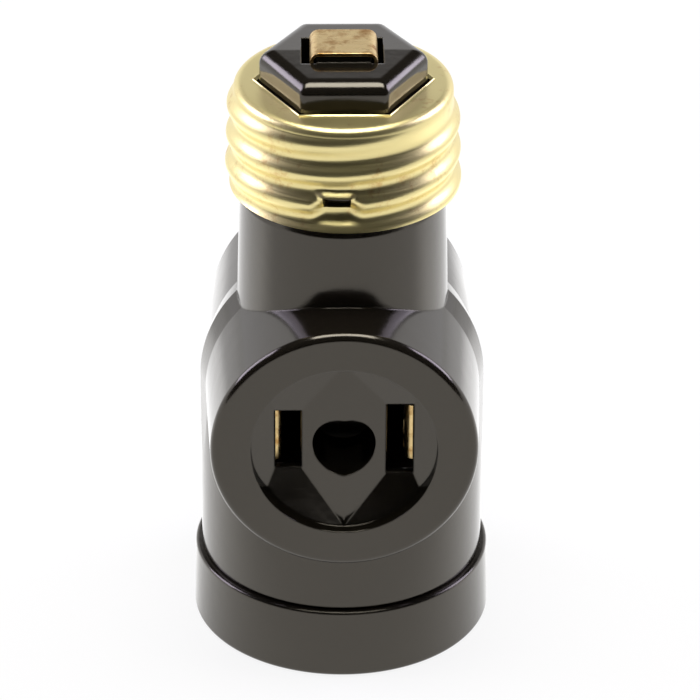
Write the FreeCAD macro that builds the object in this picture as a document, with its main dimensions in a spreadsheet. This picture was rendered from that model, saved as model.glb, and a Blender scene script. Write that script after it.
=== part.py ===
import FreeCAD, Part
import math
import os
import Sketcher
from FreeCAD import Placement, Rotation, Vector

# Lamp socket adapter: a screw shell on top that goes into a lampholder, two flat-blade outlets on
# opposite sides of the moulded body, and a lampholder in the ring that it stands on.
# +Z is up, the front outlet faces -Y, and the origin is the middle of the ring's bottom rim.

SIZES = {
    # body
    "body_radius": 16.4,
    "body_wall": 2.5,
    "foot_chamfer": 0.25,
    "outlet_height": 30.7,
    "ceiling_drop": 8.1,
    # ring at the foot
    "ring_height": 8.6,
    "ring_step": 0.7,
    "ring_flare": 0.2,
    "ring_edge_round": 0.5,
    "mouth_clearance": 0.1,
    "mouth_chamfer": 0.6,
    "shelf_height": 2.6,
    "spigot_wall": 1.4,
    "spigot_clearance": 0.15,
    "spigot_gap": 0.2,
    "snap_bead": 0.3,
    "snap_height": 5.2,
    # outlet bosses
    "face_distance": 17.9,
    "face_round": 0.9,
    "ridge_half_width": 3.6,
    "ridge_fall": 0.6,
    "boss_draft": 0.65,
    "recess_radius": 10.6,
    "recess_wall": 1.3,
    "hopper_depth": 1.5,
    "blade_spacing": 12.7,
    "line_slot_width": 2.9,
    "line_slot_length": 7.45,
    "neutral_slot_width": 3.0,
    "neutral_slot_length": 8.95,
    "centre_hole_radius": 3.6,
    "centre_hole_drop": 0.3,
    "centre_hole_depth": 11.5,
    # neck and post
    "neck_rise": 26.2,
    "neck_draft": 0.69,
    "neck_inset": 0.97,
    "seat_inset": 1.48,
    "post_flats": 16.6,
    "post_rise": 3.5,
    "post_edge_round": 1.6,
    "post_corner_round": 0.9,
    # screw shell on top
    "shell_low_radius": 12.73,
    "shell_height": 12.4,
    "shell_lap": 0.5,
    "shell_draft": 0.68,
    "shell_wall": 0.4,
    "shell_top_round": 0.7,
    "hex_hole_clearance": 0.5,
    "thread_pitch": 3.629,
    "thread_depth": 0.7,
    "thread_half_width": 1.6,
    "thread_crest_half_width": 0.45,
    "thread_sunk": 0.1,
    "thread_run_out": 1.43,
    "lance_width": 3.1,
    "lance_height": 1.0,
    "lance_rise": 3.0,
    "lance_offset": 0.8,
    "lance_depth": 0.9,
    "lance_tab": 1.8,
    "lance_clearance": 0.4,
    # lamp shell in the foot
    "lamp_shell_gap": 0.95,
    "lamp_shell_wall": 0.35,
    "lamp_shell_rise": 0.8,
    "lamp_floor_hole_radius": 5.0,
    # contacts
    "strip_thickness": 0.5,
    "strip_width": 6.0,
    "strip_face": 8.7,
    "chamber_inner": 4.7,
    "chamber_clearance": 0.5,
    "chamber_wall": 1.1,
    "chamber_rise": 5.5,
    "channel_inner": 2.5,
    "channel_drop": 2.2,
    "channel_clearance": 0.4,
    "joint_drop": 3.2,
    "strip_bend_low": 4.5,
    "strip_bend_high": 2.0,
    "shell_reach": 0.25,
    "leaf_thickness": 0.4,
    "leaf_height": 7.0,
    "leaf_grip": 7.2,
    "leaf_grip_start": 5.0,
    "leaf_grip_end": 3.4,
    "tongue_joint_rise": 2.6,
    "tongue_end_rise": 1.7,
    "tongue_width": 5.2,
    "tongue_drop": 3.3,
    "tongue_tip_lift": 0.7,
    "tongue_clearance": 0.05,
    "foot_setback": 0.5,
    "foot_rivet_inset": 1.95,
    "disc_thickness": 0.6,
    "disc_clearance": 0.4,
    "disc_overlap": 0.9,
    # strap on top
    "strap_thickness": 0.6,
    "strap_width": 6.1,
    "strap_half_span": 3.8,
    "strap_rise": 1.3,
    "strap_bend": 1.1,
    "strap_leg_below_joint": 2.0,
    "strap_slot_room": 0.7,
    # fixings
    "rivet_radius": 0.8,
    "rivet_head_radius": 1.4,
    "rivet_head": 0.45,
    "rivet_pitch": 3.6,
    "screw_radius": 1.25,
    "screw_clearance": 0.2,
    "screw_head_radius": 2.4,
    "screw_head": 1.2,
    "screw_inset": 3.55,
    "screw_grip": 3.4,
    "screw_point": 0.6,
    # how far a cut runs past the face that it opens, and one cut into the next
    "overcut": 1.0,
    "overlap": 0.1,
}

FULL_TURN = 360
QUARTER_TURN = 90


class Size:
    """A length together with the spreadsheet expression that gives it."""

    def __init__(self, value, text):
        self.value = value
        self.text = text

    def __add__(self, other):
        other = as_size(other)
        return Size(self.value + other.value, "(%s + %s)" % (self.text, other.text))

    def __sub__(self, other):
        other = as_size(other)
        return Size(self.value - other.value, "(%s - %s)" % (self.text, other.text))

    def __mul__(self, other):
        other = as_size(other)
        return Size(self.value * other.value, "(%s * %s)" % (self.text, other.text))

    def __truediv__(self, other):
        other = as_size(other)
        return Size(self.value / other.value, "(%s / %s)" % (self.text, other.text))

    def __neg__(self):
        return Size(-self.value, "(0 - %s)" % self.text)


def as_size(number):
    return number if isinstance(number, Size) else Size(number, repr(number))


class Named:
    """The named rows of the spreadsheet, each one a Size."""


doc = FreeCAD.newDocument("LampSocketAdapter")
sheet = doc.addObject("Spreadsheet::Sheet", "Sizes")
s = Named()
for row, (alias, number) in enumerate(SIZES.items(), 1):
    sheet.set("A%d" % row, alias)
    sheet.set("B%d" % row, str(number))
    sheet.setAlias("B%d" % row, alias)
    setattr(s, alias, Size(number, "Sizes." + alias))
doc.recompute()

# radii that follow from the table
ring_top_radius = s.body_radius + s.ring_step
ring_foot_radius = ring_top_radius + s.ring_flare
boss_root_radius = s.body_radius - s.ridge_fall
boss_radius = boss_root_radius - s.boss_draft
lamp_bore_radius = s.body_radius - s.body_wall
mouth_radius = lamp_bore_radius + s.mouth_clearance
spigot_radius = lamp_bore_radius + s.spigot_wall
lamp_shell_radius = lamp_bore_radius - s.lamp_shell_gap
screw_circle = lamp_shell_radius - s.screw_inset
neck_top_radius = s.shell_low_radius - s.neck_inset
neck_foot_radius = neck_top_radius + s.neck_draft
seat_radius = s.shell_low_radius - s.seat_inset
# heights that follow from the table
ceiling_height = s.outlet_height - s.ceiling_drop
disc_low = ceiling_height - s.disc_thickness
lamp_floor_low = disc_low - s.lamp_shell_wall
lamp_shell_low = s.shelf_height + s.lamp_shell_rise
foot_level = disc_low + s.strip_thickness / 2
tongue_joint = ceiling_height + s.tongue_joint_rise
neck_top_height = s.outlet_height + s.neck_rise
shell_low_height = neck_top_height - s.shell_lap
shell_top_height = shell_low_height + s.shell_height
lance_level = shell_low_height + s.lance_rise
top_seat = shell_top_height - s.shell_wall
post_height = s.post_rise + s.shell_wall
post_top = top_seat + post_height
chamber_top = s.outlet_height + s.chamber_rise
channel_top = top_seat - s.channel_drop
joint_level = channel_top - s.joint_drop
strap_leg_end = joint_level - s.strap_leg_below_joint
# distances from the middle that follow from the table
recess_floor = s.face_distance - s.recess_wall
slot_face = recess_floor - s.hopper_depth
chamber_reach = slot_face - s.chamber_wall
strip_middle = s.strip_face - s.strip_thickness / 2
strip_inner = s.strip_face - s.strip_thickness
leaf_root = strip_inner - s.leaf_thickness / 2
foot_rivet = s.chamber_inner + s.foot_rivet_inset
shell_slope = s.shell_draft / s.shell_height


def bind(thing, path, size):
    """Give a property its number, then tie it to the spreadsheet."""
    size = as_size(size)
    if "." not in path and "[" not in path:
        setattr(thing, path, size.value)
    thing.setExpression(path, size.text)


def origin_plane(body, role):
    for feature in body.Origin.OriginFeatures:
        if feature.Role == role:
            return feature
    raise RuntimeError("no plane " + role)


def new_body(label):
    body = doc.addObject("PartDesign::Body", label)
    body.Label = label
    return body


def sketch(body, name, role, right=0, up=0, out=0):
    """A sketch on one of the body's own origin planes, moved by three bound distances."""
    made = body.newObject("Sketcher::SketchObject", name)
    made.AttachmentSupport = [(origin_plane(body, role), "")]
    made.MapMode = "FlatFace"
    shift = [as_size(right), as_size(up), as_size(out)]
    made.AttachmentOffset = Placement(Vector(*[size.value for size in shift]), Rotation())
    for letter, size in zip("xyz", shift):
        if size.value:
            made.setExpression("AttachmentOffset.Base." + letter, size.text)
    return made


def pin(made, index, place, x, y):
    """Hold one sketch point at bound distances from the sketch's origin."""
    for kind, axis, size in (("DistanceX", -2, as_size(x)), ("DistanceY", -1, as_size(y))):
        if size.value == 0:
            made.addConstraint(Sketcher.Constraint("PointOnObject", index, place, axis))
            continue
        number = made.addConstraint(Sketcher.Constraint(kind, index, place, size.value))
        made.setExpression("Constraints[%d]" % number, size.text)


def flat(x, y):
    return Vector(as_size(x).value, as_size(y).value, 0)


def outline(made, points, closed=True):
    """Straight lines through bound points."""
    first = made.GeometryCount
    count = len(points) if closed else len(points) - 1
    for i in range(count):
        ends = points[i], points[(i + 1) % len(points)]
        made.addGeometry(Part.LineSegment(flat(*ends[0]), flat(*ends[1])), False)
    for i in range(count if closed else count - 1):
        following = first + (i + 1) % count
        made.addConstraint(Sketcher.Constraint("Coincident", first + i, 2, following, 1))
    for i, point in enumerate(points):
        if i < count:
            pin(made, first + i, 1, *point)
        else:
            pin(made, first + i - 1, 2, *point)
    return made


def rectangle(made, x0, y0, x1, y1):
    return outline(made, [(x0, y0), (x1, y0), (x1, y1), (x0, y1)])


def circle(made, x, y, radius):
    radius = as_size(radius)
    index = made.addGeometry(Part.Circle(flat(x, y), Vector(0, 0, 1), radius.value), False)
    number = made.addConstraint(Sketcher.Constraint("Radius", index, radius.value))
    made.setExpression("Constraints[%d]" % number, radius.text)
    pin(made, index, 3, x, y)
    return made


def turned(body, made, kind="Revolution", axis="V_Axis"):
    feature = body.newObject("PartDesign::" + kind, kind)
    feature.Profile = made
    feature.ReferenceAxis = (made, [axis])
    feature.Angle = FULL_TURN
    return feature


def raised(body, made, length, symmetric=False, kind="Pad", reverse=False):
    feature = body.newObject("PartDesign::" + kind, kind)
    feature.Profile = made
    feature.SideType = "Symmetric" if symmetric else "One side"
    feature.Reversed = reverse
    bind(feature, "Length", length)
    return feature


def bore(body, made, length, symmetric=True, reverse=False):
    return raised(body, made, length, symmetric, "Pocket", reverse)


def edge_names(feature, wanted):
    names = []
    for number, edge in enumerate(feature.Shape.Edges, 1):
        if wanted(edge.BoundBox, edge):
            names.append("Edge%d" % number)
    if not names:
        raise RuntimeError("no edges found for " + feature.Label)
    return names


def rounded(body, feature, wanted, radius, kind="Fillet"):
    """Round or chamfer the edges of a feature that the test picks out."""
    doc.recompute()
    made = body.newObject("PartDesign::" + kind, kind)
    made.Base = (feature, edge_names(feature, wanted))
    bind(made, "Size" if kind == "Chamfer" else "Radius", radius)
    return made


def near(a, b):
    return abs(a - as_size(b).value) < 1e-3


def bent(body, name, role, path, half_thickness, start, half_width, out=0):
    """A strip of sheet swept along a bent path: the section stands across the path's start."""
    line = outline(sketch(body, name + "_path", role, out=out), path, closed=False)
    section = sketch(body, name + "_section", start["role"], out=start["out"])
    x, y = start["at"]
    if start["thick_along"] == "x":
        rectangle(section, x - half_thickness, y - half_width, x + half_thickness, y + half_width)
    else:
        rectangle(section, x - half_width, y - half_thickness, x + half_width, y + half_thickness)
    doc.recompute()
    sweep = body.newObject("PartDesign::AdditivePipe", name + "_sweep")
    sweep.Profile = section
    sweep.Spine = (line, [])
    sweep.Transition = "Round corner"
    return sweep


def bead_profile(made, wall_radius, crest_level, half_width):
    """Section of one rolled thread, its foot sunk a little into the wall that carries it."""
    foot, crest = wall_radius - s.thread_sunk, wall_radius + s.thread_depth
    return outline(made, [
        (foot, crest_level - half_width), (crest, crest_level - s.thread_crest_half_width),
        (crest, crest_level + s.thread_crest_half_width), (foot, crest_level + half_width)])


def thread(body, made, rise, slope, kind="AdditiveHelix"):
    feature = body.newObject("PartDesign::" + kind, kind)
    feature.Profile = made
    feature.ReferenceAxis = (made, ["V_Axis"])
    feature.Mode = "pitch-height-angle"
    bind(feature, "Pitch", s.thread_pitch)
    bind(feature, "Height", rise)
    if as_size(slope).value:
        feature.Angle = -math.degrees(math.atan(slope.value))
        feature.setExpression("Angle", "atan(0 - %s)" % slope.text)
    return feature


def shaved_flanks(body):
    """The two flanks of the parting ridge run out softly on each side of the foot cylinder."""
    fall = math.degrees(math.atan(s.ridge_fall.value / s.ridge_half_width.value))
    lean = 2 * math.degrees(1 - math.cos(math.radians(fall)))
    for across in (-1, 1):
        for along in (-1, 1):
            shave = body.newObject("PartDesign::SubtractiveBox", "flank_shave")
            shave.MapMode = "Deactivated"
            bind(shave, "Length", s.ridge_half_width)
            bind(shave, "Width", boss_radius)
            bind(shave, "Height", boss_radius)
            heading = fall * along if across > 0 else 2 * QUARTER_TURN - fall * along
            turn = Rotation(Vector(0, 0, 1), heading) * Rotation(Vector(0, 1, 0), -lean)
            ridge = Vector(across * s.body_radius.value, 0, s.outlet_height.value)
            corner = Vector(0, -boss_radius.value / 2, -boss_radius.value)
            shave.Placement = Placement(ridge + turn.multVec(corner), turn)


def soft_corner(x, y, toward_x, toward_y, radius):
    """A round corner of a turned outline as three points: its two ends and its middle."""
    cut = radius * (1 - math.sqrt(0.5))
    return [(x, y + radius * toward_y), (x + cut * toward_x, y + cut * toward_y),
            (x + radius * toward_x, y)]


def housing_outside(body):
    """Foot cylinder with its spigot, the two bosses, the neck and the seat of the screw shell."""
    shelf = s.shelf_height + s.spigot_gap
    foot = outline(sketch(body, "foot", "XZ_Plane"), [
        (0, shelf), (spigot_radius, shelf), (spigot_radius, s.snap_height - s.snap_bead),
        (spigot_radius + s.snap_bead, s.snap_height),
        (spigot_radius, s.snap_height + s.snap_bead),
        (spigot_radius, s.ring_height), (s.body_radius - s.foot_chamfer, s.ring_height),
        (s.body_radius, s.ring_height + s.foot_chamfer), (s.body_radius, s.outlet_height),
        (0, s.outlet_height)])
    turned(body, foot)
    shaved_flanks(body)
    front_edge = soft_corner(-s.face_distance, boss_radius, 1, -1, s.face_round)
    rear_edge = soft_corner(s.face_distance, boss_radius, -1, -1, s.face_round)
    barrel = outline(sketch(body, "barrel", "YZ_Plane", up=s.outlet_height), [
        (-s.face_distance, 0)] + front_edge + [
        (-s.ridge_half_width, boss_root_radius), (0, s.body_radius),
        (s.ridge_half_width, boss_root_radius)] + rear_edge[::-1] + [(s.face_distance, 0)])
    turned(body, barrel, axis="H_Axis")
    neck = outline(sketch(body, "neck", "XZ_Plane"), [
        (0, s.outlet_height), (neck_foot_radius, s.outlet_height),
        (neck_top_radius, neck_top_height), (seat_radius, neck_top_height),
        (seat_radius, top_seat), (0, top_seat)])
    turned(body, neck)


def hexagon(made, flats):
    """Six bound corners, two of them on the left-right axis."""
    corner = flats / math.sqrt(3)
    half = corner / 2
    apothem = flats / 2
    return outline(made, [(corner, 0), (half, apothem), (-half, apothem), (-corner, 0),
                          (-half, -apothem), (half, -apothem)])


def housing_post(body):
    """Hexagonal post with rounded corners and rounded top edges."""
    plan = hexagon(sketch(body, "post_plan", "XY_Plane", out=top_seat), s.post_flats)
    post = raised(body, plan, post_height)
    upright = rounded(body, post, lambda box, edge: near(box.ZMax - box.ZMin, post_height)
                      and box.XMax - box.XMin < 0.01, s.post_corner_round)
    doc.recompute()
    rounded(body, upright, lambda box, edge: near(box.ZMin, post_top)
            and near(box.ZMax, post_top), s.post_edge_round)


def housing_hollows(body):
    """Lamp chamber, contact chambers, strip channels, slots and pilot holes."""
    chamber = outline(sketch(body, "lamp_chamber", "XZ_Plane"), [
        (0, s.shelf_height), (lamp_bore_radius, s.shelf_height),
        (lamp_bore_radius, ceiling_height), (0, ceiling_height)])
    turned(body, chamber, "Groove")
    chamber_outer = s.strip_face + s.chamber_clearance
    channel_outer = s.strip_face + s.channel_clearance
    channel_width = s.strip_width + s.channel_clearance
    low = ceiling_height - s.overcut
    for side in (-1, 1):
        plan = sketch(body, "contact_chamber", "XZ_Plane")
        rectangle(plan, s.chamber_inner * side, low, chamber_outer * side, chamber_top)
        bore(body, plan, chamber_reach * 2)
        plan = sketch(body, "strip_channel", "XZ_Plane")
        rectangle(plan, s.channel_inner * side, chamber_top, channel_outer * side, channel_top)
        bore(body, plan, channel_width)
        plan = sketch(body, "post_slot", "XZ_Plane")
        rectangle(plan, (s.strap_half_span - s.strap_thickness - s.overlap) * side,
                  channel_top - s.overlap, (s.strap_half_span + s.strap_slot_room) * side,
                  post_top + s.overcut)
        bore(body, plan, channel_width)
    window = rectangle(sketch(body, "shell_window", "XZ_Plane"), channel_outer - s.overlap,
                       joint_level, seat_radius + s.overcut, joint_level + s.strip_thickness * 3.5)
    bore(body, window, channel_width)
    groove = rectangle(sketch(body, "tongue_groove", "XZ_Plane"), -s.chamber_inner - s.overlap,
                       low, -s.rivet_radius, ceiling_height + s.leaf_thickness + s.tongue_clearance)
    bore(body, groove, channel_width)
    for side, width, length in ((-1, s.line_slot_width, s.line_slot_length),
                                (1, s.neutral_slot_width, s.neutral_slot_length)):
        middle = s.blade_spacing / 2 * side
        slot = rectangle(sketch(body, "blade_slot", "XZ_Plane"),
                         middle - width / 2, s.outlet_height - length / 2,
                         middle + width / 2, s.outlet_height + length / 2)
        bore(body, slot, s.face_distance * 2)
    hole_end = s.face_distance - s.centre_hole_depth
    for side in (-1, 1):
        hole = sketch(body, "centre_hole", "YZ_Plane", up=s.outlet_height - s.centre_hole_drop)
        outline(hole, [
            (s.face_distance * side, 0), (s.face_distance * side, s.centre_hole_radius),
            ((hole_end + s.centre_hole_radius / 2) * side, s.centre_hole_radius),
            (hole_end * side, 0)])
        turned(body, hole, "Groove", "H_Axis")
        plan = circle(sketch(body, "pilot_hole", "XY_Plane", out=ceiling_height),
                      0, screw_circle * side, s.screw_radius)
        bore(body, plan, s.screw_grip, symmetric=False, reverse=True)
        pocket = sketch(body, "lance_pocket", "YZ_Plane", out=-s.lance_offset)
        rectangle(pocket, (seat_radius - s.lance_depth) * side,
                  lance_level - s.lance_tab - s.lance_clearance,
                  (seat_radius + s.overcut) * side,
                  lance_level + s.lance_height + s.lance_clearance)
        bore(body, pocket, s.lance_width + s.lance_clearance * 2)


def upper_housing():
    """The moulded body with the hopper-shaped recess of each outlet cut into its two faces."""
    body = new_body("housing_moulding")
    housing_outside(body)
    housing_post(body)
    housing_hollows(body)
    hoppers = []
    for side, width, length in ((-1, s.line_slot_width, s.line_slot_length),
                                (1, s.neutral_slot_width, s.neutral_slot_length)):
        middle = s.blade_spacing / 2 * side
        slot_low, slot_high = middle - width / 2, middle + width / 2
        wide_low, wide_high = (-s.recess_radius, 0) if side < 0 else (0, s.recess_radius)
        for facing in (-1, 1):
            hopper = doc.addObject("Part::Wedge", "hopper")
            near_end, far_end = ("", "2") if facing < 0 else ("2", "")
            bind(hopper, "Ymin", recess_floor * facing if facing < 0 else slot_face)
            bind(hopper, "Ymax", -slot_face if facing < 0 else recess_floor)
            bind(hopper, "X%smin" % near_end, wide_low)
            bind(hopper, "X%smax" % near_end, wide_high)
            bind(hopper, "X%smin" % far_end, slot_low)
            bind(hopper, "X%smax" % far_end, slot_high)
            bind(hopper, "Z%smin" % near_end, -s.recess_radius)
            bind(hopper, "Z%smax" % near_end, s.recess_radius)
            bind(hopper, "Z%smin" % far_end, -length / 2)
            bind(hopper, "Z%smax" % far_end, length / 2)
            bind(hopper, "Placement.Base.z", s.outlet_height)
            hoppers.append(hopper)
    joined = doc.addObject("Part::MultiFuse", "hoppers")
    joined.Shapes = hoppers
    drum = doc.addObject("Part::Cylinder", "recess_drum")
    bind(drum, "Radius", s.recess_radius)
    bind(drum, "Height", s.face_distance * 2)
    drum.Placement = Placement(Vector(0, s.face_distance.value, s.outlet_height.value),
                               Rotation(Vector(1, 0, 0), QUARTER_TURN))
    drum.setExpression("Placement.Base.y", s.face_distance.text)
    drum.setExpression("Placement.Base.z", s.outlet_height.text)
    clipped = doc.addObject("Part::MultiCommon", "clipped_hoppers")
    clipped.Shapes = [joined, drum]
    rims = []
    for facing in (-1, 1):
        rim = doc.addObject("Part::Cylinder", "recess_rim")
        bind(rim, "Radius", s.recess_radius)
        bind(rim, "Height", s.recess_wall + s.overcut)
        rim.Placement = Placement(Vector(0, 0, 0),
                                  Rotation(Vector(1, 0, 0), -facing * QUARTER_TURN))
        rim.setExpression("Placement.Base.y", (recess_floor * facing).text)
        rim.setExpression("Placement.Base.z", s.outlet_height.text)
        rims.append(rim)
    recess = doc.addObject("Part::MultiFuse", "outlet_recess")
    recess.Shapes = [clipped] + rims
    housing = doc.addObject("Part::Cut", "upper_housing")
    housing.Base = body
    housing.Tool = recess
    return housing


def lower_ring():
    """Snap-on ring that the body stands in, with the lamp's mouth through it."""
    body = new_body("lower_ring")
    wall = spigot_radius + s.spigot_clearance
    edge = s.ring_edge_round
    turned(body, outline(sketch(body, "ring", "XZ_Plane"), [
        (mouth_radius + s.mouth_chamfer, 0), (ring_foot_radius - edge, 0),
        (ring_foot_radius, edge), (ring_top_radius, s.ring_height - edge),
        (ring_top_radius - edge, s.ring_height), (wall, s.ring_height),
        (wall, s.snap_height + s.snap_bead), (wall + s.snap_bead, s.snap_height),
        (wall, s.snap_height - s.snap_bead), (wall, s.shelf_height),
        (mouth_radius, s.shelf_height), (mouth_radius, s.mouth_chamfer)]))
    return body


def base_screw_shell():
    """Rolled brass screw shell with a hexagonal top hole and a lanced tab front and back."""
    body = new_body("base_screw_shell")
    top_radius = s.shell_low_radius - s.shell_draft
    start_level = shell_low_height - s.thread_pitch
    start_radius = s.shell_low_radius + s.thread_pitch * shell_slope
    buried = start_level - s.thread_pitch
    turned(body, outline(sketch(body, "plug", "XZ_Plane"), [
        (0, buried), (start_radius + s.thread_pitch * shell_slope, buried),
        (top_radius, shell_top_height), (0, shell_top_height)]))
    bead = bead_profile(sketch(body, "outer_bead", "XZ_Plane"), start_radius, start_level,
                        s.thread_half_width)
    rise = s.shell_height + s.thread_pitch - s.thread_run_out
    thread(body, bead, rise, shell_slope)
    skirt = rectangle(sketch(body, "trim_below", "XZ_Plane"), -ring_top_radius,
                      buried - s.thread_pitch, ring_top_radius, shell_low_height)
    bore(body, skirt, ring_top_radius * 2)
    brow = top_radius - s.shell_top_round
    round_low = shell_top_height - s.shell_top_round
    crown = outline(sketch(body, "trim_above", "XZ_Plane"),
                    soft_corner(top_radius, shell_top_height, -1, -1, s.shell_top_round)[::-1] + [
                        (ring_top_radius, round_low - s.shell_top_round * 2),
                        (ring_top_radius, shell_top_height + s.thread_pitch),
                        (brow, shell_top_height + s.thread_pitch)])
    turned(body, crown, "Groove")
    inner_low = s.shell_low_radius - s.shell_wall
    inner_high = top_radius - s.shell_wall
    cavity = outline(sketch(body, "cavity", "XZ_Plane"), [
        (0, shell_low_height - s.overcut),
        (inner_low + shell_slope * s.overcut, shell_low_height - s.overcut),
        (inner_high, top_seat - s.shell_top_round / 2),
        (inner_high - s.shell_top_round / 2, top_seat), (0, top_seat)])
    turned(body, cavity, "Groove")
    hollow = bead_profile(sketch(body, "inner_bead", "XZ_Plane"), start_radius - s.shell_wall,
                          start_level, s.thread_half_width - s.shell_wall / 2)
    thread(body, hollow, rise - s.thread_pitch / 4, shell_slope, "SubtractiveHelix")
    window = hexagon(sketch(body, "hexagon_hole", "XY_Plane", out=top_seat - s.overcut),
                     s.post_flats + s.hex_hole_clearance * 2)
    bore(body, window, s.shell_wall + s.overcut * 2, symmetric=False, reverse=True)
    wall = s.shell_low_radius - s.lance_rise * shell_slope
    for side in (-1, 1):
        slit = rectangle(sketch(body, "lance_slit", "YZ_Plane", out=-s.lance_offset),
                         (wall - s.shell_wall * 3) * side, lance_level,
                         (wall + s.thread_depth * 2) * side, lance_level + s.lance_height)
        bore(body, slit, s.lance_width)
    return body


def tip_contact():
    """Brass strap over the post: two legs go down through the post's slots."""
    body = new_body("tip_contact")
    half, inner = s.strap_half_span, s.strap_half_span - s.strap_thickness
    top = post_top + s.strap_rise
    under = top - s.strap_thickness
    strap = raised(body, outline(sketch(body, "strap", "XZ_Plane"), [
        (-half, strap_leg_end), (-half, top), (half, top), (half, strap_leg_end),
        (inner, strap_leg_end), (inner, under), (-inner, under), (-inner, strap_leg_end)]),
        s.strap_width, symmetric=True)
    bent_out = rounded(body, strap, lambda box, edge: near(box.ZMin, top) and near(box.ZMax, top)
                       and near(box.XMin, box.XMax), s.strap_bend)
    rounded(body, bent_out, lambda box, edge: near(box.ZMin, under) and near(box.ZMax, under)
            and near(box.XMin, box.XMax), s.strap_bend - s.strap_thickness)
    rivet_hole(body, -half + s.strap_thickness / 2, 0, joint_level)
    return body


def rivet_hole(body, x, y, z):
    """A rivet hole across a strip that stands in the YZ plane."""
    plan = circle(sketch(body, "rivet_hole", "YZ_Plane", out=x), y, z, s.rivet_radius)
    return bore(body, plan, s.strip_thickness * 3)


def line_strip():
    """Strip from the line contacts up the neck, set in at its top to meet the strap's leg."""
    body = new_body("line_strip")
    inset = -s.strap_half_span - s.strip_thickness / 2
    low = ceiling_height + s.leaf_thickness + s.tongue_clearance * 5
    path = [(-strip_middle, low), (-strip_middle, joint_level - s.strip_bend_low),
            (inset, joint_level - s.strip_bend_high),
            (inset, channel_top - s.strip_thickness * 2)]
    bent(body, "line", "XZ_Plane", path, s.strip_thickness / 2,
         {"role": "XY_Plane", "out": low, "at": (-strip_middle, as_size(0)), "thick_along": "x"},
         s.strip_width / 2)
    for side in (-1, 1):
        rivet_hole(body, -strip_middle, s.rivet_pitch / 2 * side, s.outlet_height)
    rivet_hole(body, -strip_middle, 0, tongue_joint)
    rivet_hole(body, inset, 0, joint_level)
    return body


def neutral_strip():
    """Strip from the lamp shell's floor up the neck, its top turned out to the screw shell."""
    body = new_body("neutral_strip")
    foot_end = s.chamber_inner + s.foot_setback
    level = joint_level + s.strip_thickness * 1.6
    path = [(foot_end, foot_level), (strip_middle, foot_level), (strip_middle, level),
            (seat_radius + s.shell_reach, level)]
    bent(body, "neutral", "XZ_Plane", path, s.strip_thickness / 2,
         {"role": "YZ_Plane", "out": foot_end, "at": (as_size(0), foot_level), "thick_along": "y"},
         s.strip_width / 2)
    for side in (-1, 1):
        rivet_hole(body, strip_middle, s.rivet_pitch / 2 * side, s.outlet_height)
    plan = circle(sketch(body, "foot_hole", "XY_Plane", out=foot_level),
                  foot_rivet, 0, s.rivet_radius)
    bore(body, plan, s.strip_thickness * 2)
    return body


def blade_contact(label, across, along):
    """Leaf that bows in beside the blade slot and is riveted to its strip."""
    body = new_body(label)
    root, grip = leaf_root * across, s.leaf_grip * across
    start = s.rivet_pitch / 10 * along
    path = [(root, start), (root, (s.rivet_pitch + s.leaf_thickness) * along),
            (grip, (chamber_reach - s.leaf_grip_start) * along),
            (grip, (chamber_reach - s.leaf_grip_end) * along),
            (root, (chamber_reach - s.chamber_clearance) * along)]
    bent(body, "leaf", "XY_Plane", path, s.leaf_thickness / 2,
         {"role": "XZ_Plane", "out": -start, "at": (root, s.outlet_height), "thick_along": "x"},
         s.leaf_height / 2, out=s.outlet_height)
    rivet_hole(body, root, s.rivet_pitch / 2 * along, s.outlet_height)
    return body


def lamp_tip_contact():
    """Springy tongue that meets the lamp's end contact, hung from the line strip."""
    body = new_body("lamp_tip_contact")
    level = ceiling_height + s.leaf_thickness / 2
    top = tongue_joint + s.tongue_end_rise
    tip_level = level - s.tongue_drop
    path = [(-leaf_root, top), (-leaf_root, level), (-s.rivet_radius * 2.5, level),
            (s.rivet_radius * 2, tip_level), (s.rivet_radius * 4, tip_level + s.tongue_tip_lift)]
    bent(body, "tongue", "XZ_Plane", path, s.leaf_thickness / 2,
         {"role": "XY_Plane", "out": top, "at": (-leaf_root, as_size(0)), "thick_along": "x"},
         s.tongue_width / 2)
    rivet_hole(body, -leaf_root, 0, tongue_joint)
    return body


def insulating_disc():
    """Fibre disc under the ceiling, notched round the neutral strip's foot."""
    body = new_body("insulating_disc")
    plan = circle(sketch(body, "disc", "XY_Plane", out=disc_low), 0, 0,
                  lamp_bore_radius - s.disc_clearance)
    circle(plan, 0, 0, s.lamp_floor_hole_radius - s.disc_overlap)
    for side in (-1, 1):
        circle(plan, 0, screw_circle * side, s.screw_radius + s.screw_clearance)
    raised(body, plan, s.disc_thickness)
    half_notch = s.strip_width / 2 + s.disc_clearance
    notch = rectangle(sketch(body, "foot_notch", "XY_Plane", out=disc_low), s.chamber_inner,
                      -half_notch, s.strip_face + s.disc_clearance, half_notch)
    bore(body, notch, s.disc_thickness * 3)
    return body


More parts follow.
